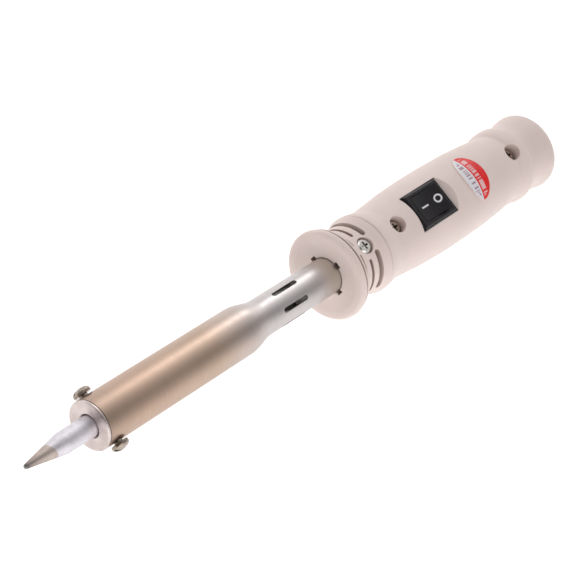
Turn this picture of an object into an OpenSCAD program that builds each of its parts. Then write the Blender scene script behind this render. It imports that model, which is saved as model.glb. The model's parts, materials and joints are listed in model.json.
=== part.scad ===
// Electric soldering iron of the kind used for stained glass and other craft work.
// +X runs from the working tip to the cord end and +Z points to the switch side.
// The origin is on the axis, in the plane of the guard's front face.

/* [Tip] */
// From the guard's front face to the working end of the tip
tip_reach = 144.5; // [144.5:0.5:148]
// Full length of the removable tip
tip_length = 98; // [90:1:98]
// Diameter of the tip's shank
tip_shank_d = 7.4; // [7:0.1:7.5]

/* [Barrel] */
// Diameter of the heater barrel
barrel_d = 17.4; // [17:0.1:18]
// Diameter of the cooler tube that runs into the handle
tube_d = 13.4; // [13:0.1:13.6]
// Sheet thickness of the barrel
barrel_wall = 0.6; // [0.4:0.1:0.7]
// Length of each cooling slot
slot_length = 12.4; // [8:0.2:14]
// Width of each cooling slot
slot_width = 1.8; // [1:0.1:2.4]

/* [Guard] */
// Diameter of the finger guard
guard_d = 33.6; // [33:0.2:36]
// Diameter of the collar where it meets the handle
collar_d = 29.6; // [29:0.1:31]
// Diameter of the guard's hole around the tube
guard_hole_d = 13.8; // [13.8:0.1:14.4]

/* [Handle] */
// Diameter of the counterbores over the handle screws
counterbore_d = 6.4; // [5.8:0.1:6.6]
// Gap between the two handle shells
seam_gap = 0.08; // [0.04:0.02:0.2]

/* [Switch] */
// Length of the switch bezel
bezel_l = 19.8; // [19.6:0.1:21]
// Width of the switch bezel
bezel_w = 14.6; // [14.2:0.1:15]
// Width of the rocker
rocker_w = 10.4; // [9.6:0.1:10.5]
// How far the rocker stands from level at rest
rocker_tilt = 10; // [6:1:11]

/* [Label] */
// Size of the oval label along the handle
label_l = 12.4; // [8:0.1:14]
// Size of the oval label across the handle
label_w = 19.4; // [14:0.1:22]

/* [Cord inlet] */
// Bore that the cord passes through
cord_bore_d = 7; // [5:0.2:8]

/* [Hidden] */

$fn = 64;
run_gap = 0.05;      // radial gap of a part that slides or turns in another
seat_gap = 0.1;      // gap between fixed neighbours
far = 60;            // longer than any cut needs

// Tip and barrel stations along X
tip_x = -tip_reach;
bush_x = -116.9;
bush_rim = 0.95;
bush_l = 13;
tip_screw_x = -111.5;
taper_x = -46.8;
tube_x = -34.5;
slot_x = -29.5;
slot_count = 6;
tube_end = 26.6;
bush_bore_r = 4;
heater_x = -103.7;
heater_end = -46.2;

// Guard and handle stations along X
web_x = 4.6;
collar_x = 19.7;
spigot_x = 17.6;
groove_x = [22.5, 26.3];
cavity_x = [27.1, 114];
handle_end = 124.6;
guard_screw_x = 12.2;
handle_screw_x = [30.6, 102.3];
spigot_r = 10.7;
sleeve_r = 10.9;
cavity_r = 10.8;
finger_w = 5.4;
notch_w = 2.4;
notch_reach = 8;
face_depth = 1;      // how far the front face dips towards the tube
face_r = 22.3;
guard_seat_z = 11.6;
screw_depth = 2.3;
boss_r = 3;

// Switch, seen from its own centre
switch_x = 49.8;
bezel_z = 14.4;
bezel_t = 1.8;
pivot_z = 10.6;
axle_r = 1.2;
housing = [18.4, 12.9, 13.1];
well = [15, 10.8];
floor_t = 1.5;
contact_z = 3.65;
contact_ratio = 2 / 3;
blade = [0.8, 4.8];
rear_blade_x = 6;

// Inside the handle
lead_y = 3.9;
lead_z = -3;
block = [10, 16, 7];
block_at = [70, -8, -6.5];
way_pitch = 5;
clamp_x = 108.8;
label_x = 76;

// ---- helpers ----

// Turns local X, Y, Z to global Y, Z, X, so that a revolved or extruded shape lies along X
module along_x() rotate([90, 0, 90]) children();

module tube_x(x0, x1, r_out, r_in) along_x() translate([0, 0, x0]) difference() {
    cylinder(h = x1 - x0, r = r_out);
    translate([0, 0, -1]) cylinder(h = x1 - x0 + 2, r = r_in);
}

module rod_x(x0, x1, r) along_x() translate([0, 0, x0]) cylinder(h = x1 - x0, r = r);

module box(low, high) translate(low) cube(high - low);

function arc(c, r, a0, a1, n) =
    [for (i = [0:n]) let (a = a0 + (a1 - a0) * i / n) c + r * [cos(a), sin(a)]];

// A smooth curve through hand-placed points, by Catmull and Rom's rule
function blend_point(a, b, c, d, t) =
    0.5 * (2 * b + (c - a) * t + (2 * a - 5 * b + 4 * c - d) * t * t
           + (3 * b - a - 3 * c + d) * t * t * t);
function smooth(p, n) = let (last = len(p) - 1) concat(
    [for (i = [0:last - 1], k = [0:n - 1])
        blend_point(p[max(i - 1, 0)], p[i], p[i + 1], p[min(i + 2, last)], k / n)],
    [p[last]]);

function unit(v) = v / norm(v);

// A round wire swept along a smooth route that never runs straight up or down
module wire(points, r, steps = 4, sides = 8) {
    path = smooth(points, steps);
    last = len(path) - 1;
    rings = [for (i = [0:last])
        let (along = unit(path[min(i + 1, last)] - path[max(i - 1, 0)]),
             across = unit(cross(along, [0, 0, 1])), up = cross(across, along))
        for (k = [0:sides - 1])
            path[i] + r * (cos(360 * k / sides) * across + sin(360 * k / sides) * up)];
    walls = [for (i = [0:last - 1], k = [0:sides - 1])
        let (a = i * sides + k, b = i * sides + (k + 1) % sides)
        [a, a + sides, b + sides, b]];
    ends = [[for (k = [0:sides - 1]) k], [for (k = [sides - 1:-1:0]) last * sides + k]];
    polyhedron(rings, concat(walls, ends));
}

// A coil along X: length, coil radius, wire radius and number of turns
module coil_x(x0, x1, coil_r, wire_r, turns, per_turn = 14, sides = 5) {
    last = turns * per_turn;
    rings = [for (i = [0:last], k = [0:sides - 1])
        let (a = 360 * i / per_turn, x = x0 + (x1 - x0) * i / last,
             r = coil_r + wire_r * cos(360 * k / sides))
        [x + wire_r * sin(360 * k / sides), r * cos(a), r * sin(a)]];
    walls = [for (i = [0:last - 1], k = [0:sides - 1])
        let (a = i * sides + k, b = i * sides + (k + 1) % sides)
        [a, a + sides, b + sides, b]];
    ends = [[for (k = [0:sides - 1]) k], [for (k = [sides - 1:-1:0]) last * sides + k]];
    polyhedron(rings, concat(walls, ends));
}

// A screw along -Z with its seat at z = 0: pan head with a cross recess
module pan_screw(head_r, head_h, shank_r, shank_l, recess = 1.5) difference() {
    union() {
        cylinder(h = head_h * 0.55, r = head_r);
        translate([0, 0, head_h * 0.55])
            cylinder(h = head_h * 0.45, r1 = head_r, r2 = head_r * 0.78);
        translate([0, 0, -shank_l]) cylinder(h = shank_l + 0.1, r = shank_r);
    }
    for (a = [0, 90]) rotate([0, 0, a])
        box([-recess, -0.35, head_h * 0.35], [recess, 0.35, head_h + 1]);
}

// ---- tip, barrel and heater ----

tip_point_r = 0.85;
cone_l = 15.6;

module tip() color("#9c958f") along_x() translate([0, 0, tip_x]) rotate_extrude()
    polygon(concat(
        arc([0, tip_point_r], tip_point_r, -90, -11, 6),
        [[tip_shank_d / 2 - 0.1, cone_l], [tip_shank_d / 2, cone_l + 0.8],
         [tip_shank_d / 2, tip_length - 0.5], [tip_shank_d / 2 - 0.5, tip_length],
         [0, tip_length]]));

module nose_bush() color("#c9cbcd") difference() {
    along_x() rotate_extrude() polygon([
        [bush_bore_r + 0.4, bush_x], [barrel_d / 2 - 0.35, bush_x],
        [barrel_d / 2 - 0.05, bush_x + 0.3], [barrel_d / 2 - 0.05, bush_x + bush_rim],
        [barrel_d / 2 - barrel_wall - 0.05, bush_x + bush_rim],
        [barrel_d / 2 - barrel_wall - 0.05, bush_x + bush_l],
        [bush_bore_r, bush_x + bush_l], [bush_bore_r, bush_x + 0.4]]);
    translate([tip_screw_x, 0, 0]) rotate([90, 0, 0])
        cylinder(h = far, r = 1.5 + run_gap, center = true);
}

module tip_screw(side) {
    head_seat = 9.35;
    head_r = 3.1;
    shank_end = tip_shank_d / 2 + 0.08;
    translate([tip_screw_x, 0, 0]) rotate([-90 * side, 0, 0]) difference() {
        union() {
            translate([0, 0, shank_end]) cylinder(h = head_seat - shank_end + 0.1, r = 1.5);
            translate([0, 0, head_seat]) rotate_extrude() polygon(concat(
                [[0, 0], [head_r - 0.15, 0], [head_r, 0.2], [head_r, 0.7]],
                [for (a = [10:10:90]) [head_r * cos(a), 0.7 + 1.6 * sin(a)]]));
        }
        box([-far, -0.4, head_seat + 1.1], [far, 0.4, head_seat + far]);
    }
}
module tip_screw_left() color("#b9b6ae") tip_screw(-1);
module tip_screw_right() color("#b9b6ae") tip_screw(1);

// Outer radius along the drawn-down part of the barrel, a half cosine between two diameters
function taper(inset) = [for (i = [0:12])
    [(barrel_d + tube_d) / 4 + (barrel_d - tube_d) / 4 * cos(15 * i) - inset,
     taper_x + (tube_x - taper_x) * i / 12]];

module barrel() color("#a98f78") difference() {
    along_x() rotate_extrude() polygon(concat(
        [[barrel_d / 2, bush_x + bush_rim + 0.25]], taper(0),
        [[tube_d / 2, tube_end], [tube_d / 2 - barrel_wall, tube_end]],
        [for (i = [12:-1:0]) taper(barrel_wall)[i]],
        [[barrel_d / 2 - barrel_wall, bush_x + bush_rim + 0.25]]));
    translate([tip_screw_x, 0, 0]) rotate([90, 0, 0])
        cylinder(h = far, r = 2, center = true);
    for (i = [0:slot_count - 1]) rotate([30 + 360 / slot_count * i, 0, 0]) {
        box([slot_x + slot_width / 2, -slot_width / 2, 3],
            [slot_x + slot_length - slot_width / 2, slot_width / 2, far]);
        for (x = [slot_width / 2, slot_length - slot_width / 2])
            translate([slot_x + x, 0, 3]) cylinder(h = far, r = slot_width / 2 - 0.01);
    }
}

module heater_tube() color("#8f8f92") tube_x(heater_x, heater_end, 4.5, 3.9);
module heater_core() color("#e9e4da") tube_x(heater_x + 1, heater_end - 1, 5.5, 4.55);
module heater_winding() color("#7d7468") coil_x(heater_x + 3, heater_end - 3, 6, 0.3, 16);
module mica_wrap() color("#c9b98f") tube_x(heater_x + 1, heater_end - 1, 6.65, 6.4);
module insulation_sleeve() color("#e6e2d8") tube_x(heater_x + 1, heater_end - 2, 7.8, 6.75);

module core_end_plug() color("#e9e4da") difference() {
    rod_x(heater_end + 0.2, heater_end + 4.2, 6);
    for (side = [-1, 1]) translate([0, side * lead_y, lead_z])
        rod_x(heater_end - 1, heater_end + 6, 0.6);
}

module heater_leads() color("#b5b3ad") for (side = [-1, 1])
    translate([0, side * lead_y, lead_z]) rod_x(heater_end + 0.3, 34.6, 0.5);

module lead_sleeves() color("#efece2") for (side = [-1, 1])
    translate([0, side * lead_y, lead_z]) tube_x(heater_end + 5, 33, 0.8, 0.55);

module lead_spacers() color("#e9e4da") for (x = [-13, 9.5]) difference() {
    rod_x(x, x + 6, tube_d / 2 - barrel_wall - seat_gap);
    for (side = [-1, 1]) translate([0, side * lead_y, lead_z]) rod_x(x - 1, x + 7, 0.85);
    translate([0, -lead_y, -lead_z]) rod_x(x - 1, x + 7, 0.9);
}

module barrel_retainer() color("#9a9a9c")
    tube_x(groove_x[0] + 1.15, groove_x[1] - 1.15, 10.4, tube_d / 2 + 0.02);

module heat_washers() color("#d8cfb4")
    for (x = [groove_x[0] + 0.1, groove_x[1] - 1.1])
        tube_x(x, x + 1, 10.4, tube_d / 2 + seat_gap);

// ---- guard ----

// Cooling slot rows in the collar: start, width, and angle from the top where each begins
slot_rows = [[6.9, 0.9, 10], [10.2, 1.3, 25], [14, 2, 18]];
slot_row_end = 78;

// Cuts one slot around X between two angles from the top
module collar_slot(x, w, from, to) {
    along_x() rotate([0, 0, 90 + from]) rotate_extrude(angle = to - from)
        translate([sleeve_r - 1, x]) square([8, w]);
    for (a = [from, to]) rotate([a, 0, 0]) translate([x + w / 2, 0, sleeve_r - 1])
        cylinder(h = 8, r = w * 0.48);
}

// Section of the guard's back: groove, ridge, waist and the flare that meets the handle
guard_back = [[14.4, 2.5], [14.4, 3.45], [15.95, 3.45], [16.15, 3.65], [16.15, 4.2],
    [15.9, 4.55], [15.1, 4.85], [13.7, 5.3], [13.1, 5.9], [13, 6.6], [13, 9.5],
    [13.1, 12.5], [13.3, 14.4], [13.75, 16.4], [14.35, 18]];

module front_guard() color("#d9c6be") difference() {
    along_x() rotate_extrude($fn = 128) polygon(concat(
        arc([guard_hole_d / 2, face_depth - face_r], face_r, 90, 73, 6),
        [[13.55, 0], [guard_d / 2 - 1.6, 0]],
        arc([guard_d / 2 - 1.5, 1.5], 1.5, -80, 0, 6),
        arc([guard_d / 2 - 0.4, 2.1], 0.4, 0, 90, 4), guard_back,
        [[collar_d / 2 - 0.1, 19], [collar_d / 2 - 0.05, collar_x - 0.3],
         [collar_d / 2 - 0.35, collar_x],
         [sleeve_r, collar_x], [sleeve_r, web_x], [guard_hole_d / 2, web_x]]));
    for (half = [0, 180]) rotate([half, 0, 0]) {
        for (row = slot_rows) {
            collar_slot(row[0], row[1], row[2], slot_row_end);
            collar_slot(row[0], row[1], -slot_row_end, -row[2]);
        }
        translate([guard_screw_x, 0, 0]) {
            cylinder(h = far, r = 1.6);
            translate([0, 0, guard_seat_z - 0.02]) cylinder(h = far, r = counterbore_d / 2);
        }
    }
    for (a = [0, 90]) rotate([a, 0, 0]) box([-1, -notch_reach, -notch_w / 2],
        [web_x + 1, notch_reach, notch_w / 2]);
}

module guard_screws() color("#b9b6ae") for (half = [0, 180])
    rotate([half, 0, 0]) translate([guard_screw_x, 0, guard_seat_z])
        pan_screw(2.8, 1.2, 1.15, 4.2);

// ---- handle ----

handle_stations = [
    [14.55, collar_x + 0.6], [14.65, 21.4], [14.35, 23.6], [13.95, 25.6], [13.75, 27.6],
    [13.85, 29.6], [14.4, 36.5], [15, 43.5], [15.4, 54.5], [15.5, 63], [15.4, 72],
    [15.2, 81], [14.65, 90], [14.3, 94.5], [13.9, 99.2], [13.75, 101.4], [13.8, 102.4],
    [14.45, 103.8], [14.85, 105.6], [14.95, 107.4], [14.85, 108.6], [14.45, 109.4],
    [13.7, 110], [13.35, 110.9], [13.25, 113], [13.45, 115.4], [14.05, 118], [14.6, 120.4],
    [14.85, 122.4]];
handle_curve = smooth(handle_stations, 3);
handle_lookup = [for (p = handle_curve) [p[1], p[0]]];
function handle_r(x) = lookup(x, handle_lookup);

// The outside of the closed handle with the spigot that goes into the collar
module handle_outside() along_x() rotate_extrude($fn = 128) polygon(concat(
    [[0, spigot_x], [spigot_r, spigot_x], [spigot_r, collar_x + 0.3],
     [14.2, collar_x + 0.3]], handle_curve,
    [[14.83, 123], [14.65, 123.7], [14.3, 124.2], [13.7, handle_end], [0, handle_end]]));

module handle_inside() along_x() rotate_extrude() polygon([
    [0, spigot_x - 1], [7.1, spigot_x - 1], [7.1, groove_x[0]], [spigot_r, groove_x[0]],
    [spigot_r, groove_x[1]], [7.1, groove_x[1]], [7.1, cavity_x[0]],
    [cavity_r, cavity_x[0]], [cavity_r, cavity_x[1]], [5.9, cavity_x[1]],
    [5.9, handle_end - 3], [7.7, handle_end - 3], [7.7, handle_end + 1], [0, handle_end + 1]]);

// Where a handle screw's head rests, below the surface by the depth of its counterbore
function seat_z(x) = handle_r(x) - screw_depth - 1.6;

// A boss for the screw at x, from the seam to the wall; inside the cavity only
module boss(x, r, z0, z1) intersection() {
    translate([x, 0, z0]) cylinder(h = z1 - z0, r = r);
    box([cavity_x[0] - 0.2, -far, -far], [far * 2, far, far]);
}

module finger() intersection() {
    box([6, -finger_w / 2, 8], [spigot_x + 0.5, finger_w / 2, far]);
    rod_x(5, spigot_x + 1, spigot_r - 0.3);
}

// The bare shell above the seam for side 1, or below it for side -1
module shell_half(side) difference() {
    handle_outside();
    handle_inside();
    box([-far, -far, side > 0 ? -far : -seam_gap / 2],
        [far * 3, far, side > 0 ? seam_gap / 2 : far]);
}

module switch_pocket() {
    clear = 0.15;
    x0 = switch_x - bezel_l / 2 - clear;
    x1 = switch_x + bezel_l / 2 + clear;
    y = bezel_w / 2 + clear;
    translate([switch_x, 0, 0]) box([-housing[0] / 2 - clear, -housing[1] / 2 - clear, 4],
        [housing[0] / 2 + clear, housing[1] / 2 + clear, far]);
    rotate([90, 0, 0]) translate([0, 0, -y]) linear_extrude(2 * y) polygon([
        [x0, bezel_z - bezel_t], [x1, bezel_z - bezel_t], [x1, bezel_z - 1],
        [x1 + 4.4, bezel_z + 3], [x0, bezel_z + 3]]);
}

module handle_top() color("#dccac1") difference() {
    union() {
        shell_half(1);
        for (x = handle_screw_x) {
            boss(x, boss_r, seam_gap / 2, cavity_r + 0.5);
            boss(x, counterbore_d / 2 + 1.3, seat_z(x) - 2, cavity_r + 0.5);
        }
        finger();
    }
    for (x = handle_screw_x) translate([x, 0, 0]) {
        translate([0, 0, -1]) cylinder(h = far, r = 1.55);
        translate([0, 0, seat_z(x)]) cylinder(h = far, r = counterbore_d / 2);
    }
    translate([guard_screw_x, 0, 0]) cylinder(h = far, r = 1.2);
    switch_pocket();
}

module handle_bottom() color("#dccac1") difference() {
    union() {
        shell_half(-1);
        for (x = handle_screw_x) boss(x, boss_r, -cavity_r - 0.5, -seam_gap / 2);
        rotate([180, 0, 0]) finger();
        for (x = [block_at[0] + 0.4, block_at[0] + block[0] - 2])
            intersection() {
                box([x, -8, -far], [x + 1.6, 8, block_at[2] - 0.02]);
                rod_x(x - 1, x + 3, cavity_r + 0.3);
            }
        for (side = [-1, 1]) intersection() {
            translate([clamp_x, side * 7, -far]) cylinder(h = far - 0.5, r = 2.2);
            rod_x(100, 116, cavity_r + 0.3);
        }
    }
    for (x = handle_screw_x) translate([x, 0, -9]) cylinder(h = 20, r = 1.2);
    for (side = [-1, 1]) translate([clamp_x, side * 7, -7]) cylinder(h = 20, r = 0.95);
    rotate([180, 0, 0]) translate([guard_screw_x, 0, 0]) cylinder(h = far, r = 1.2);
}

module handle_screws() color("#b9b6ae") for (x = handle_screw_x)
    translate([x, 0, seat_z(x) + 0.02]) pan_screw(2.65, 1.6, 1.15, 16.5);

// ---- switch ----

// A block with sloping sides: base size, top size and height
module sloped_block(base, top, h) intersection() {
    rotate([90, 0, 0]) linear_extrude(far, center = true) polygon([
        [-base[0] / 2, 0], [base[0] / 2, 0], [base[0] / 2, h * 0.45],
        [top[0] / 2, h], [-top[0] / 2, h], [-base[0] / 2, h * 0.45]]);
    rotate([90, 0, 90]) linear_extrude(far, center = true) polygon([
        [-base[1] / 2, 0], [base[1] / 2, 0], [base[1] / 2, h * 0.45],
        [top[1] / 2, h], [-top[1] / 2, h], [-base[1] / 2, h * 0.45]]);
}

module switch_housing() color("#1c1c1e") translate([switch_x, 0, 0]) difference() {
    union() {
        translate([0, 0, bezel_z - bezel_t])
            sloped_block([bezel_l, bezel_w], [bezel_l - 1.8, bezel_w - 1.8], bezel_t);
        translate([-housing[0] / 2, -housing[1] / 2, bezel_z - bezel_t - housing[2]])
            cube(housing + [0, 0, 0.1]);
    }
    translate([-well[0] / 2, -well[1] / 2, bezel_z - bezel_t - housing[2] + floor_t])
        cube([well[0], well[1], far]);
    translate([0, 0, pivot_z]) rotate([90, 0, 0])
        cylinder(h = far, r = axle_r + run_gap, center = true);
    for (x = [0, rear_blade_x]) translate([x, 0, 0])
        box([-blade[0] / 2 - 0.05, -blade[1] / 2 - 0.05, -5],
            [blade[0] / 2 + 0.05, blade[1] / 2 + 0.05, 5]);
}

// Puts the rocker's own level frame at its pivot, with the front end pressed down
module at_pivot() translate([switch_x, 0, pivot_z]) rotate([0, -rocker_tilt, 0]) children();

rocker_end = 6.55;
rocker_top = 5;
dish_r = 21;
stem_bore_r = 1.35;

module switch_rocker() color("#141416") at_pivot() difference() {
    union() {
        box([-rocker_end, -rocker_w / 2, -1], [rocker_end, rocker_w / 2, rocker_top]);
        box([-2.3, -3, -4.2], [2.3, 3, 0]);
        rotate([90, 0, 0]) cylinder(h = housing[1] - 0.5, r = axle_r, center = true);
    }
    translate([0, 0, rocker_top - 1 + dish_r]) rotate([90, 0, 0])
        cylinder(h = far, r = dish_r, center = true, $fn = 128);
    translate([0, 0, -6]) cylinder(h = 8.5, r = stem_bore_r);
}

plunger_tip_z = -6.4;
module switch_plunger() color("#d8d6cf") at_pivot() {
    translate([0, 0, plunger_tip_z + 0.9]) cylinder(h = 4.5, r = stem_bore_r - run_gap);
    translate([0, 0, plunger_tip_z + 1]) sphere(r = 1);
}

module switch_spring() color("#b9b6ae") at_pivot() rotate([0, -90, 0])
    coil_x(-0.75, 2.2, 0.95, 0.17, 5);

module switch_contact() color("#c7a35a") translate([switch_x, 0, contact_z])
    rotate([0, rocker_tilt * contact_ratio, 0]) {
        box([-6.6, -2, -0.25], [6.6, 2, 0.25]);
        rotate([90, 0, 0]) cylinder(h = 4, r = 0.4, center = true);
        translate([rear_blade_x, 0, -0.7]) cylinder(h = 0.5, r = 1);
    }

module switch_terminals() color("#c7a35a") translate([switch_x, 0, 0])
    for (t = [[0, contact_z - 0.5], [rear_blade_x, contact_z - 1.75]])
        box([t[0] - blade[0] / 2, -blade[1] / 2, -7.6], [t[0] + blade[0] / 2, blade[1] / 2, t[1]]);

// Push-on sleeves on the blades; each has an ear to one side that takes its wire
module push_on_connectors() color("#bfbdb5") translate([switch_x, 0, 0])
    for (c = [[0, -1], [rear_blade_x, 1]]) translate([c[0], 0, 0]) difference() {
        box([-1, c[1] > 0 ? -3 : -5.4, -7.9], [1, c[1] > 0 ? 5.4 : 3, -2.4]);
        box([-blade[0] / 2 - 0.04, -blade[1] / 2 - 0.04, -9],
            [blade[0] / 2 + 0.04, blade[1] / 2 + 0.04, 0]);
        translate([0, c[1] * 4.1, -5.2]) rod_x(c[1] > 0 ? -2 : 0, c[1] > 0 ? 0 : 2, 0.85);
    }

// ---- label ----

module rating_label() color("#d83a3e") intersection() {
    difference() {
        along_x() rotate_extrude($fn = 128) polygon(concat(
            [for (p = handle_curve) if (abs(p[1] - label_x) < 14) p + [0.27, 0]],
            [[10, label_x + 9], [10, label_x - 9]]));
        along_x() rotate_extrude($fn = 128) polygon(concat(
            [for (p = handle_curve) if (abs(p[1] - label_x) < 14) p + [0.02, 0]],
            [[0, label_x + 15], [0, label_x - 15]]));
    }
    translate([label_x, 0, 0]) linear_extrude(20) polygon(
        [for (a = [0:7.5:352.5]) [label_l / 2 * cos(a), label_w / 2 * sin(a)]]);
}

// ---- wiring and cord inlet ----

wire_r = 0.8;

module crimp_splices() color("#bfbdb5") for (side = [-1, 1])
    translate([0, side * lead_y, lead_z]) difference() {
        rod_x(33.4, 38.2, 1.3);
        rod_x(33.3, 36, 0.56);
        rod_x(35.9, 39, 0.85);
    }

module wire_load() color("#2f2f33") wire([
    [36.2, lead_y, lead_z], [38, lead_y, lead_z], [39.6, lead_y, lead_z], [43, 4.1, -3.8],
    [switch_x - 1.2, 4.1, -4.9], [switch_x + 2.3, 4.1, -5.2],
    [switch_x + rear_blade_x - 0.1, 4.1, -5.2]], wire_r);

module wire_neutral() color("#3a62a8") wire([
    [36.2, -lead_y, lead_z], [38, -lead_y, lead_z], [39.6, -lead_y, lead_z],
    [44.2, -4.1, -6], [47.8, -4, -8.8], [51.6, -3.4, -9.05], [59.4, -1, -8.7], [65, 0, -5.5],
    [68.5, 0, -3.2], [73, 0, -3]], wire_r);

module wire_line() color("#7a4a32") wire([
    [switch_x + 0.1, -4.1, -5.2], [switch_x + 2.2, -4.1, -5.2], [57.5, -4.3, -5],
    [62.5, -4.8, -4],
    [68.5, -5, -3.1], [73, -5, -3]], wire_r);

module wire_earth() color("#6f9a3c") wire([
    [5, -lead_y, -lead_z], [33.5, -lead_y, -lead_z], [36.2, -6.2, 2.4], [40, -8.6, 1],
    [53.6, -8.8, 0], [61, -7.1, 2.4], [64.2, -0.6, 3.4], [66.8, 4.2, 0.6], [69, 5, -2.7],
    [73, 5, -3]], wire_r);

module terminal_block() color("#e4e1d6") difference() {
    translate(block_at) cube(block);
    for (i = [-1:1]) translate([0, i * way_pitch, 0]) {
        translate([0, 0, -3]) rod_x(block_at[0] - 1, block_at[0] + block[0] + 1, 1.9);
        for (x = [2.2, block[0] - 2.2])
            translate([block_at[0] + x, 0, -3]) cylinder(h = 10, r = 1.5);
    }
}

module terminal_inserts() color("#c7a35a") for (i = [-1:1]) difference() {
    translate([0, i * way_pitch, -3]) rod_x(block_at[0] + 0.5, block_at[0] + block[0] - 0.5, 1.85);
    translate([0, i * way_pitch, -3]) rod_x(block_at[0], block_at[0] + block[0], 1.1);
    for (x = [2.2, block[0] - 2.2])
        translate([block_at[0] + x, i * way_pitch, -3]) cylinder(h = 10, r = 1.05);
}

module terminal_screws() color("#b9b6ae")
    for (i = [-1:1], x = [2.2, block[0] - 2.2])
        translate([block_at[0] + x, i * way_pitch, -2]) difference() {
            cylinder(h = 2.4, r = 1);
            box([-2, -0.2, 1.8], [2, 0.2, 4]);
        }

module cord_clamp() color("#8b8b8d") difference() {
    box([clamp_x - 2.5, -8.6, 2.6], [clamp_x + 2.5, 8.6, 5.4]);
    rod_x(clamp_x - 4, clamp_x + 4, 3.5);
    for (side = [-1, 1]) translate([clamp_x, side * 7, 0]) cylinder(h = 12, r = 1.2);
}

module cord_clamp_screws() color("#b9b6ae") for (side = [-1, 1])
    translate([clamp_x, side * 7, 5.42]) pan_screw(1.7, 1, 0.9, 10, 1);

module cord_bushing() color("#2a2a2c") along_x() rotate_extrude() polygon([
    [cord_bore_d / 2, 112.6], [7, 112.6], [7.4, 113], [7.4, 113.9], [5.8, 113.9],
    [5.8, handle_end - 2.9], [7.5, handle_end - 2.9], [7.5, handle_end - 0.8],
    [7.1, handle_end - 0.4], [cord_bore_d / 2, handle_end - 0.4]]);

tip();
nose_bush();
tip_screw_left();
tip_screw_right();
barrel();
heater_tube();
heater_core();
heater_winding();
mica_wrap();
insulation_sleeve();
core_end_plug();
heater_leads();
lead_sleeves();
lead_spacers();
barrel_retainer();
heat_washers();
front_guard();
guard_screws();
handle_top();
handle_bottom();
handle_screws();
switch_housing();
switch_rocker();
switch_plunger();
switch_spring();
switch_contact();
switch_terminals();
push_on_connectors();
rating_label();
crimp_splices();
wire_load();
wire_line();
wire_neutral();
wire_earth();
terminal_block();
terminal_inserts();
terminal_screws();
cord_clamp();
cord_clamp_screws();
cord_bushing();
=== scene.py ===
import json
import math

import bmesh
import bpy
from mathutils import Matrix, Vector


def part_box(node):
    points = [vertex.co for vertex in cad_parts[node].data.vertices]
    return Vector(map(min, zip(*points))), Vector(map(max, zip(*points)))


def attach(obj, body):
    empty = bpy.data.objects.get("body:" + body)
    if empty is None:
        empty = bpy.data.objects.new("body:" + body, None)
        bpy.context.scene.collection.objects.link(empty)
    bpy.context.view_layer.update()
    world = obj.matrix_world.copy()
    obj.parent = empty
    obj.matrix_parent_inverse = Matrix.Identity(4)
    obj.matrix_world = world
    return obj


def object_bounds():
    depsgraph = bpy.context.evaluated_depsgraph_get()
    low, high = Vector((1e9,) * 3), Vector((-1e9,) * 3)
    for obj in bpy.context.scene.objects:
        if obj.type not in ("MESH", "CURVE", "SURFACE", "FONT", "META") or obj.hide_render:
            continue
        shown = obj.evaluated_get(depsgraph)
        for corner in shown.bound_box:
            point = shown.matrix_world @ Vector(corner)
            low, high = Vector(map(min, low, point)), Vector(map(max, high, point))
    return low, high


# A stained-glass soldering iron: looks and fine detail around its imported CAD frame
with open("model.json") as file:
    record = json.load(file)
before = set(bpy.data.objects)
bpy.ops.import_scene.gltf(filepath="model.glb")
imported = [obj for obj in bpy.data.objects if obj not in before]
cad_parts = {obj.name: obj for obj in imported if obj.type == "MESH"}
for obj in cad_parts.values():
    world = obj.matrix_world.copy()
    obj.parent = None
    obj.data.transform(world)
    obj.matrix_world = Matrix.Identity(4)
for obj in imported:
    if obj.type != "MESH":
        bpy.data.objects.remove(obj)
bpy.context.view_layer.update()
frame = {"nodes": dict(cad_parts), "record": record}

MM = 0.001


# ---- camera, floor and light ----

def add_camera():
    """Looks down at the iron from above its tip, turned so that the iron lies on a slant."""
    azimuth, depression, roll = math.radians(8.9), math.radians(47.6), math.radians(45.87)
    distance = 0.681
    aim = Vector((-0.0167, 0.0035, 0))
    forward = Vector((math.cos(azimuth) * math.cos(depression),
                      math.sin(azimuth) * math.cos(depression), -math.sin(depression)))
    level = forward.cross(Vector((0, 0, 1))).normalized()
    upright = level.cross(forward)
    right = math.cos(roll) * level + math.sin(roll) * upright
    up = right.cross(forward)
    camera = bpy.data.objects.new("camera", bpy.data.cameras.new("camera"))
    camera.data.lens = 125
    camera.data.sensor_width = 36
    camera.data.clip_start = 0.01
    camera.data.clip_end = 20
    turn = Matrix((right, up, -forward)).transposed()
    camera.matrix_world = Matrix.Translation(aim - forward * distance) @ turn.to_4x4()
    bpy.context.scene.collection.objects.link(camera)
    bpy.context.scene.camera = camera


def add_light(name, towards, size, power):
    """A square soft light, seen from the iron in the given direction."""
    distance = 0.9
    light = bpy.data.lights.new(name, "AREA")
    light.shape = "SQUARE"
    light.size = size
    light.energy = power
    lamp = bpy.data.objects.new(name, light)
    place = Vector(towards).normalized() * distance
    lamp.matrix_world = (Matrix.Translation(place) @
                         place.to_track_quat("Z", "Y").to_matrix().to_4x4())
    lamp.visible_camera = False
    bpy.context.scene.collection.objects.link(lamp)


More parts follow.
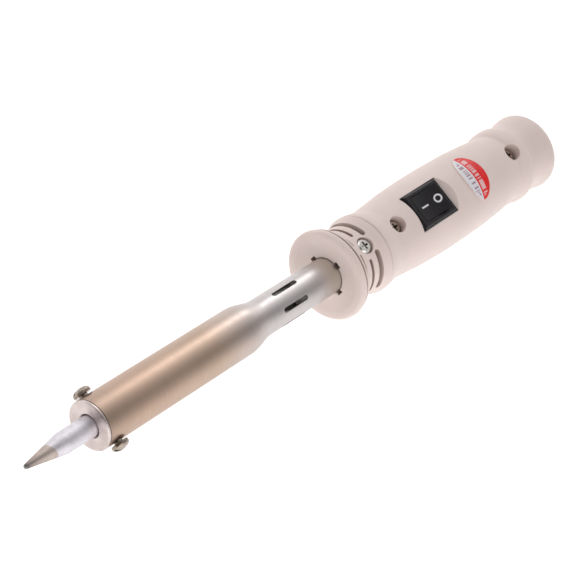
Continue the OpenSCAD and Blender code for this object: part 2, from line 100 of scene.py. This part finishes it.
def add_world():
    """A light tent: bright walls left and right of the iron, dimmer overhead and at the camera's end.

    Brightness goes by the angle around the iron's own axis, from straight up, positive to +Y."""
    walls = [(-95, 1.3), (-68, 0.85), (-47, 0.52), (-27, 0.34), (-8, 0.44), (11, 0.66),
             (31, 1.15), (52, 1.6), (76, 1.0), (95, 0.7)]
    front_share = 0.27
    brightest = max(level for _, level in walls)
    world = bpy.data.worlds.new("studio")
    world.use_nodes = True
    bpy.context.scene.world = world
    tree = world.node_tree
    shade = tree.nodes["Background"]
    way = tree.nodes.new("ShaderNodeSeparateXYZ")
    tree.links.new(tree.nodes.new("ShaderNodeTexCoord").outputs["Generated"], way.inputs[0])
    angle = tree.nodes.new("ShaderNodeMath")
    angle.operation = "ARCTAN2"
    tree.links.new(way.outputs["Y"], angle.inputs[0])
    tree.links.new(way.outputs["Z"], angle.inputs[1])
    turn = tree.nodes.new("ShaderNodeMapRange")
    turn.inputs["From Min"].default_value = -math.pi
    turn.inputs["From Max"].default_value = math.pi
    tree.links.new(angle.outputs[0], turn.inputs["Value"])
    ring = tree.nodes.new("ShaderNodeValToRGB")
    ring.color_ramp.interpolation = "EASE"
    while len(ring.color_ramp.elements) < len(walls):
        ring.color_ramp.elements.new(0.5)
    for element, (degrees, level) in zip(ring.color_ramp.elements, walls):
        element.position = (degrees + 180) / 360
        element.color = (*[level / brightest] * 3, 1)
    tree.links.new(turn.outputs[0], ring.inputs["Fac"])
    ends = tree.nodes.new("ShaderNodeMapRange")
    ends.interpolation_type = "SMOOTHSTEP"
    ends.inputs["From Min"].default_value = -0.7
    ends.inputs["From Max"].default_value = 0.5
    ends.inputs["To Min"].default_value = front_share * brightest
    ends.inputs["To Max"].default_value = brightest
    tree.links.new(way.outputs["X"], ends.inputs["Value"])
    tree.links.new(ring.outputs["Color"], shade.inputs["Color"])
    tree.links.new(ends.outputs[0], shade.inputs["Strength"])


def add_floor():
    """A wide white table under the iron."""
    reach = 3.0
    drop = 0.03
    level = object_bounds()[0][2] - drop
    mesh = bpy.data.meshes.new("floor")
    mesh.from_pydata([(-reach, -reach, level), (reach, -reach, level), (reach, reach, level),
                      (-reach, reach, level)], [], [(0, 1, 2, 3)])
    floor = bpy.data.objects.new("floor", mesh)
    bpy.context.scene.collection.objects.link(floor)
    look = Look("floor", roughness=0.9)
    look.color(look.ramp(look.noise(40, 3), [(0.3, (0.92, 0.92, 0.92)), (0.7, (0.95, 0.95, 0.95))]))
    look.shader.inputs["Emission Color"].default_value = (1, 1, 1, 1)
    look.shader.inputs["Emission Strength"].default_value = 0.45
    mesh.materials.append(look.material)


# ---- materials ----

class Look:
    """One procedural material. Numbers that are the same all over go straight on the shader."""

    SOCKETS = {"metallic": "Metallic", "roughness": "Roughness",
               "specular": "Specular IOR Level", "coat": "Coat Weight",
               "coat_roughness": "Coat Roughness", "anisotropy": "Anisotropic",
               "subsurface": "Subsurface Weight", "subsurface_scale": "Subsurface Scale",
               "subsurface_radius": "Subsurface Radius"}

    def __init__(self, name, **values):
        self.material = bpy.data.materials.new(name)
        self.material.use_nodes = True
        self.tree = self.material.node_tree
        self.shader = self.tree.nodes["Principled BSDF"]
        self.place = self.tree.nodes.new("ShaderNodeTexCoord").outputs["Object"]
        for key, value in values.items():
            self.shader.inputs[self.SOCKETS[key]].default_value = value

    def plug(self, socket, value):
        """Links an output into a socket, or sets the socket where the value is plain."""
        if isinstance(value, bpy.types.NodeSocket):
            self.tree.links.new(value, socket)
        elif isinstance(value, tuple) and len(value) == 3 and socket.type == "RGBA":
            socket.default_value = (*value, 1)
        else:
            socket.default_value = value

    def color(self, value):
        self.plug(self.shader.inputs["Base Color"], value)

    def rough(self, value):
        self.plug(self.shader.inputs["Roughness"], value)

    def scaled(self, by):
        """The place on the object, stretched by a vector."""
        node = self.tree.nodes.new("ShaderNodeVectorMath")
        node.operation = "MULTIPLY"
        self.plug(node.inputs[0], self.place)
        node.inputs[1].default_value = by
        return node.outputs[0]

    def radius(self, stretch):
        """How far the place is from the object's origin, along the stretched axes."""
        node = self.tree.nodes.new("ShaderNodeVectorMath")
        node.operation = "LENGTH"
        self.plug(node.inputs[0], self.scaled(stretch))
        return node.outputs["Value"]

    def noise(self, scale, detail=2, stretch=(1, 1, 1), roughness=0.5):
        node = self.tree.nodes.new("ShaderNodeTexNoise")
        self.plug(node.inputs["Vector"], self.scaled(stretch))
        node.inputs["Scale"].default_value = scale
        node.inputs["Detail"].default_value = detail
        node.inputs["Roughness"].default_value = roughness
        return node.outputs["Fac"]

    def ramp(self, factor, stops):
        """Grey or colour stops along a factor from 0 to 1."""
        node = self.tree.nodes.new("ShaderNodeValToRGB")
        self.plug(node.inputs["Fac"], factor)
        elements = node.color_ramp.elements
        while len(elements) < len(stops):
            elements.new(0.5)
        for element, (at, value) in zip(elements, sorted(stops, key=lambda s: s[0])):
            element.position = at
            value = value if isinstance(value, tuple) else (value, value, value)
            element.color = (*value, 1)
        return node.outputs["Color"]

    def math(self, operation, *values, clamp=False):
        node = self.tree.nodes.new("ShaderNodeMath")
        node.operation = operation
        node.use_clamp = clamp
        for socket, value in zip(node.inputs, values):
            self.plug(socket, value)
        return node.outputs[0]

    def mix(self, factor, a, b, blend="MIX"):
        node = self.tree.nodes.new("ShaderNodeMix")
        node.data_type = "RGBA"
        node.blend_type = blend
        self.plug(node.inputs["Factor"], factor)
        self.plug(node.inputs[6], a)
        self.plug(node.inputs[7], b)
        return node.outputs[2]

    def axis(self, letter):
        """One coordinate of the place on the object, in metres."""
        node = self.tree.nodes.new("ShaderNodeSeparateXYZ")
        self.plug(node.inputs[0], self.place)
        return node.outputs["XYZ".index(letter)]

    def along(self, letter, start, end):
        """A factor that goes from 0 at one coordinate to 1 at another."""
        node = self.tree.nodes.new("ShaderNodeMapRange")
        node.clamp = True
        self.plug(node.inputs["Value"], self.axis(letter))
        node.inputs["From Min"].default_value = start
        node.inputs["From Max"].default_value = end
        return node.outputs["Result"]

    def painted_crevice_shade(self, reach, floor):
        """Painted shade: 1 on open surface, falling to the floor value deep in holes and corners, where
        shade falls.
        """
        node = self.tree.nodes.new("ShaderNodeAmbientOcclusion")
        node.samples = 8
        node.only_local = True
        node.inputs["Distance"].default_value = reach
        return self.ramp(node.outputs["AO"], [(0.25, floor), (0.9, 1.0)])

    def band(self, value, low, high):
        """1 where a value lies between two limits, else 0."""
        return self.math("MULTIPLY", self.math("GREATER_THAN", value, low),
                         self.math("LESS_THAN", value, high))

    def bump(self, height, distance, strength=1.0, rounding=0.0):
        """Surface relief in metres, on top of edges rounded by a small radius."""
        node = self.tree.nodes.new("ShaderNodeBump")
        node.inputs["Strength"].default_value = strength
        node.inputs["Distance"].default_value = distance
        self.plug(node.inputs["Height"], height)
        if rounding:
            bevel = self.tree.nodes.new("ShaderNodeBevel")
            bevel.samples = 6
            bevel.inputs["Radius"].default_value = rounding
            self.plug(node.inputs["Normal"], bevel.outputs["Normal"])
        self.plug(self.shader.inputs["Normal"], node.outputs["Normal"])


def handle_plastic():
    """Matte, faintly pink beige moulded plastic with a fine spark-eroded grain."""
    look = Look("handle_plastic", specular=0.35, subsurface=0.12, subsurface_scale=0.002,
                subsurface_radius=(1, 0.7, 0.5))
    shade = look.ramp(look.noise(60, 3), [(0.3, (0.77, 0.64, 0.60)), (0.7, (0.81, 0.675, 0.635))])
    specks = look.ramp(look.noise(900, 1), [(0.62, 0.0), (0.72, 1.0)])
    speckled = look.mix(look.math("MULTIPLY", specks, 0.12), shade, (0.56, 0.47, 0.42))
    # painted shade: the colour darkens to warm brown deep in slots, holes and seams
    look.color(look.mix(1.0, speckled, look.painted_crevice_shade(0.003, (0.42, 0.34, 0.29)), "MULTIPLY"))
    look.rough(look.ramp(look.noise(250, 2), [(0.3, 0.44), (0.7, 0.58)]))
    look.bump(look.noise(2600, 2), 0.00004, 0.5, rounding=0.0003)
    return look.material


def barrel_steel():
    """Satin turned steel, tinted by heat over the element and clean along the narrow tube."""
    low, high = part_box("barrel")
    look = Look("barrel_steel", metallic=1.0, anisotropy=0.3)
    where = look.along("X", low.x, high.x)
    tint = look.ramp(where, [
        (0.0, (0.48, 0.35, 0.275)), (0.12, (0.54, 0.385, 0.30)), (0.36, (0.53, 0.395, 0.31)),
        (0.47, (0.55, 0.46, 0.42)), (0.55, (0.60, 0.555, 0.55)), (0.76, (0.61, 0.575, 0.57)),
        (0.80, (0.61, 0.58, 0.52)), (0.83, (0.57, 0.54, 0.51)), (1.0, (0.46, 0.44, 0.42))])
    clouds = look.ramp(look.noise(45, 4), [(0.35, 0.96), (0.65, 1.03)])
    turned = look.ramp(look.noise(1, 3, (9000, 120, 120)), [(0.3, 0.93), (0.7, 1.05)])
    satin = look.mix(1.0, look.mix(1.0, tint, clouds, "MULTIPLY"), turned, "MULTIPLY")
    # painted shade: the colour falls almost to black inside the tube and deep in its slots
    look.color(look.mix(1.0, satin, look.painted_crevice_shade(0.012, 0.05), "MULTIPLY"))
    look.rough(look.ramp(look.noise(1, 2, (5000, 200, 200)), [(0.3, 0.34), (0.7, 0.44)]))
    look.bump(look.noise(1, 3, (9000, 150, 150)), 0.000006, 0.5, rounding=0.00012)
    return look.material


def bush_steel():
    """Turned steel face with fine concentric tool marks, dulled by heat."""
    look = Look("bush_steel", metallic=1.0)
    cloudy = look.ramp(look.noise(260, 3), [(0.35, (0.56, 0.475, 0.45)), (0.65, (0.68, 0.59, 0.565))])
    tool_marks = 30000      # radians of their wave per metre
    rings = look.math("SINE", look.math("MULTIPLY", look.radius((0, 1, 1)), tool_marks))
    # painted shade: the colour darkens in the face's hollows and inner corners
    look.color(look.mix(1.0, cloudy, look.painted_crevice_shade(0.0012, 0.35), "MULTIPLY"))
    look.rough(look.ramp(look.noise(900, 3), [(0.35, 0.3), (0.7, 0.44)]))
    look.bump(rings, 0.000003, 0.4, rounding=0.00012)
    return look.material


def screw_steel():
    """Nickelled screws: bright in the handle, browned by heat where they clamp the tip."""
    look = Look("screw_steel", metallic=1.0)
    worn = look.noise(350, 3)
    clean = look.ramp(worn, [(0.35, (0.70, 0.66, 0.62)), (0.62, (0.80, 0.77, 0.74))])
    dull = look.ramp(worn, [(0.35, (0.40, 0.33, 0.27)), (0.62, (0.56, 0.49, 0.42))])
    browned = look.ramp(worn, [(0.35, (0.26, 0.205, 0.16)), (0.62, (0.43, 0.37, 0.32))])
    front = look.mix(look.along("X", -0.1, -0.05), browned, clean)
    tone = look.mix(look.along("X", 0.018, 0.024), front, dull)
    # painted shade: the colour darkens deep in the screw-head recesses
    look.color(look.mix(1.0, tone, look.painted_crevice_shade(0.0009, 0.15), "MULTIPLY"))
    look.rough(look.ramp(look.noise(900, 3), [(0.35, 0.18), (0.7, 0.32)]))
    look.bump(look.noise(1800, 3), 0.000012, 0.5, rounding=0.00015)
    return look.material


def tip_plating():
    """Iron-plated copper: blue-grey shank, taupe cone and a dark, freshly tinned point."""
    low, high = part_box("tip")
    browned, zone = 10.8 * MM, 20 * MM
    slant = 18
    look = Look("tip_plating", metallic=1.0)
    where = look.along("X", low.x, low.x + zone)
    slanted = look.math("ADD", where, look.math("MULTIPLY", look.axis("Y"), slant))
    wavy = look.math("ADD", slanted, look.math("MULTIPLY", look.noise(300, 2), 0.03))
    edge = browned / zone
    tint = look.ramp(wavy, [
        (0.0, (0.36, 0.35, 0.35)), (0.045, (0.15, 0.135, 0.13)), (0.12, (0.36, 0.305, 0.28)),
        (0.3, (0.50, 0.42, 0.38)), (edge, (0.52, 0.44, 0.40)),
        (edge + 0.02, (0.70, 0.665, 0.70)), (1.0, (0.74, 0.71, 0.755))])
    blotch = look.ramp(look.noise(500, 3), [(0.35, 0.93), (0.65, 1.04)])
    drawn = look.ramp(look.noise(1, 3, (150, 4000, 4000)), [(0.3, 0.95), (0.7, 1.03)])
    look.color(look.mix(1.0, look.mix(1.0, tint, blotch, "MULTIPLY"), drawn, "MULTIPLY"))
    look.rough(look.ramp(look.noise(1200, 3), [(0.3, 0.44), (0.7, 0.56)]))
    look.bump(look.noise(1, 3, (400, 3500, 3500)), 0.000008, 0.4)
    return look.material


def black_plastic():
    """Satin black nylon with a soft sheen and dust in its grain."""
    look = Look("switch_black", specular=0.3)
    grain = look.ramp(look.noise(500, 3), [(0.35, (0.0085, 0.0065, 0.009)),
                                           (0.7, (0.0145, 0.0115, 0.014))])
    # painted shade: the colour darkens further in the switch's gaps and corners
    look.color(look.mix(1.0, grain, look.painted_crevice_shade(0.001, 0.2), "MULTIPLY"))
    look.rough(look.ramp(look.noise(700, 2), [(0.3, 0.38), (0.7, 0.52)]))
    look.bump(look.noise(3500, 2), 0.00002, 0.4, rounding=0.0003)
    return look.material


def label_film():
    """Printed film: white front half, red rear half, a row of plain bars on each, a pale edge."""
    low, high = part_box("rating_label")
    center = (low.x + high.x) / 2
    middle = center - 0.9 * MM
    row_start, row_end = 0.8 * MM, 3.1 * MM
    print_edge, rim = 0.84, 0.955
    look = Look("label_film", specular=0.3, coat=0.1, coat_roughness=0.2)
    x, y = look.axis("X"), look.axis("Y")
    split = look.math("GREATER_THAN", x, middle)
    mottle = look.noise(700, 2)
    white = look.ramp(mottle, [(0.3, (0.72, 0.71, 0.76)), (0.7, (0.82, 0.80, 0.83))])
    red = look.ramp(mottle, [(0.3, (0.74, 0.008, 0.010)), (0.7, (0.84, 0.020, 0.018))])
    # how far out towards the oval's edge: 1 at the edge
    out = look.math("SQRT", look.math("ADD",
        look.math("POWER", look.math("DIVIDE", look.math("SUBTRACT", x, center), (high.x - low.x) / 2), 2),
        look.math("POWER", look.math("DIVIDE", y, (high.y - low.y) / 2), 2)))
    bars = look.math("GREATER_THAN", look.noise(1, 0, (0, 1150, 0)), 0.47)
    dashes = look.math("GREATER_THAN", look.noise(1, 0, (0, 1500, 0)), 0.5)
    inside = look.math("LESS_THAN", out, print_edge)
    rear_row = look.math("MULTIPLY", look.band(x, middle + row_start, middle + row_end), bars)
    front_row = look.math("MULTIPLY", look.band(x, middle - row_end, middle - row_start), dashes)
    rear = look.mix(look.math("MULTIPLY", look.math("MULTIPLY", rear_row, inside), 0.8),
                    red, (0.86, 0.62, 0.62))
    front = look.mix(look.math("MULTIPLY", look.math("MULTIPLY", front_row, inside), 0.75),
                     white, (0.30, 0.10, 0.16))
    print_color = look.mix(split, front, rear)
    look.color(look.mix(look.math("GREATER_THAN", out, rim), print_color, (0.80, 0.62, 0.58)))
    look.rough(look.ramp(look.noise(800, 2), [(0.3, 0.25), (0.7, 0.38)]))
    look.bump(look.noise(1500, 2), 0.00001, 0.3)
    return look.material


def mark_paint():
    """Pale grey paint of the switch marks, worn at its edges."""
    look = Look("mark_paint")
    look.color(look.ramp(look.noise(2500, 3), [(0.25, (0.48, 0.46, 0.48)), (0.45, (0.74, 0.73, 0.75))]))
    look.rough(look.ramp(look.noise(1500, 2), [(0.3, 0.42), (0.7, 0.6)]))
    look.bump(look.noise(3000, 2), 0.00001, 0.4)
    return look.material


def plain(name, color, rough=0.5, metallic=0.0, grain=1500, depth=0.00002):
    """A part that is mostly hidden: a mottled tone with some grain."""
    look = Look(name, metallic=metallic)
    dark = tuple(c * 0.85 for c in color)
    look.color(look.ramp(look.noise(grain / 3, 3), [(0.35, dark), (0.65, color)]))
    look.rough(look.ramp(look.noise(grain / 2, 2), [(0.3, rough * 0.85), (0.7, rough * 1.15)]))
    look.bump(look.noise(grain, 2), depth, 0.4)
    return look.material


def make_materials():
    """Every finish, by the record's slot name."""
    return {
        "handle_plastic": handle_plastic(),
        "barrel_steel": barrel_steel(),
        "bush_steel": bush_steel(),
        "screw_steel": screw_steel(),
        "tip_plating": tip_plating(),
        "switch_black": black_plastic(),
        "label_film": label_film(),
        "inner_steel": plain("inner_steel", (0.5, 0.5, 0.5), 0.4, 1.0),
        "heater_wire": plain("heater_wire", (0.35, 0.32, 0.29), 0.4, 1.0),
        "ceramic": plain("ceramic", (0.78, 0.74, 0.68), 0.7),
        "mica": plain("mica", (0.5, 0.42, 0.26), 0.35),
        "woven_sleeve": plain("woven_sleeve", (0.8, 0.78, 0.7), 0.8, grain=4000),
        "plunger_plastic": plain("plunger_plastic", (0.7, 0.69, 0.65), 0.45),
        "contact_brass": plain("contact_brass", (0.60, 0.42, 0.16), 0.3, 1.0),
        "wire_black": plain("wire_black", (0.03, 0.03, 0.035), 0.4),
        "wire_brown": plain("wire_brown", (0.19, 0.07, 0.03), 0.4),
        "wire_blue": plain("wire_blue", (0.04, 0.12, 0.38), 0.4),
        "wire_green": plain("wire_green", (0.15, 0.33, 0.05), 0.4),
        "block_plastic": plain("block_plastic", (0.75, 0.73, 0.66), 0.45),
        "bushing_rubber": plain("bushing_rubber", (0.03, 0.03, 0.032), 0.6, grain=3000),
    }


# ---- the CAD nodes ----

def smoothing_group(limit):
    """A node group that smooths faces and keeps edges sharper than the limit, in degrees."""
    group = bpy.data.node_groups.new("smooth_shallow_edges", "GeometryNodeTree")
    group.interface.new_socket("Geometry", in_out="INPUT", socket_type="NodeSocketGeometry")
    group.interface.new_socket("Geometry", in_out="OUTPUT", socket_type="NodeSocketGeometry")
    start = group.nodes.new("NodeGroupInput")
    end = group.nodes.new("NodeGroupOutput")
    normals = group.nodes.new("GeometryNodeSetMeshNormal")
    normals.mode = "SHARPNESS"
    angle = group.nodes.new("GeometryNodeInputMeshEdgeAngle")
    sharp = group.nodes.new("FunctionNodeCompare")
    sharp.operation = "GREATER_THAN"
    sharp.inputs[1].default_value = math.radians(limit)
    link = group.links.new
    link(start.outputs[0], normals.inputs["Mesh"])
    link(angle.outputs["Unsigned Angle"], sharp.inputs[0])
    link(sharp.outputs[0], normals.inputs["Edge Sharpness"])
    link(normals.outputs[0], end.inputs[0])
    return group


def finish_nodes(materials):
    """Gives each CAD node its material, and smooths its shading by modifiers alone."""
    smooth = smoothing_group(28)
    same_place = 1e-7
    slots = {part["node"]: part["material_slot"] for part in frame["record"]["subparts"]}
    for name, node in frame["nodes"].items():
        node.material_slots[0].material = materials[slots[name]]
        node.modifiers.new("weld", "WELD").merge_threshold = same_place
        node.modifiers.new("smooth", "NODES").node_group = smooth


# ---- the marks on the rocker ----

def laid_on(node, name, outline_quads, lift):
    """A thin film of quads, given in X and Y, laid on a node from above."""
    above = 40 * MM
    mesh = bpy.data.meshes.new(name)
    film = bmesh.new()
    back = node.matrix_world.inverted()
    down = (back.to_3x3() @ Vector((0, 0, -1))).normalized()
    seen = {}
    for quad in outline_quads:
        corners = []
        for x, y in quad:
            key = (round(x, 7), round(y, 7))
            if key not in seen:
                _, place, normal, _ = node.ray_cast(back @ Vector((x, y, above)), down)
                seen[key] = film.verts.new(node.matrix_world @ (place + normal * lift))
            corners.append(seen[key])
        film.faces.new(corners)
    film.normal_update()
    film.to_mesh(mesh)
    film.free()
    piece = bpy.data.objects.new(name, mesh)
    bpy.context.scene.collection.objects.link(piece)
    return piece


def add_marks(material):
    """The on stroke and the off ring, painted on the rocker's hollow face."""
    low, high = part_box("switch_housing")
    center = (low.x + high.x) / 2
    rocker = frame["nodes"]["switch_rocker"]
    lift = 0.03 * MM
    start, end, half, steps = -5.1 * MM, -1.6 * MM, 0.32 * MM, 8
    xs = [center + start + (end - start) * i / steps for i in range(steps + 1)]
    bar = [[(a, -half), (b, -half), (b, half), (a, half)] for a, b in zip(xs, xs[1:])]
    ring_at, outer, inner, around = 3.1 * MM, 1.65 * MM, 1.0 * MM, 40
    turns = [2 * math.pi * i / around for i in range(around + 1)]
    ring = [[(center + ring_at + r * math.cos(t), r * math.sin(t))
             for r, t in ((inner, a), (outer, a), (outer, b), (inner, b))]
            for a, b in zip(turns, turns[1:])]
    for name, quads in (("mark_on", bar), ("mark_off", ring)):
        piece = laid_on(rocker, name, quads, lift)
        piece.data.materials.append(material)
        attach(piece, "rocker")


add_camera()
add_world()
add_light("key", towards=(0.666, 0.589, 0.458), size=0.25, power=0.5)
add_light("side", towards=(-0.45, -0.785, 0.423), size=1.0, power=4.4)
add_light("far_side", towards=(-0.4, 0.85, 0.35), size=1.0, power=1.2)
add_floor()
materials = make_materials()
finish_nodes(materials)
add_marks(mark_paint())
bpy.context.scene.view_settings.view_transform = "Standard"
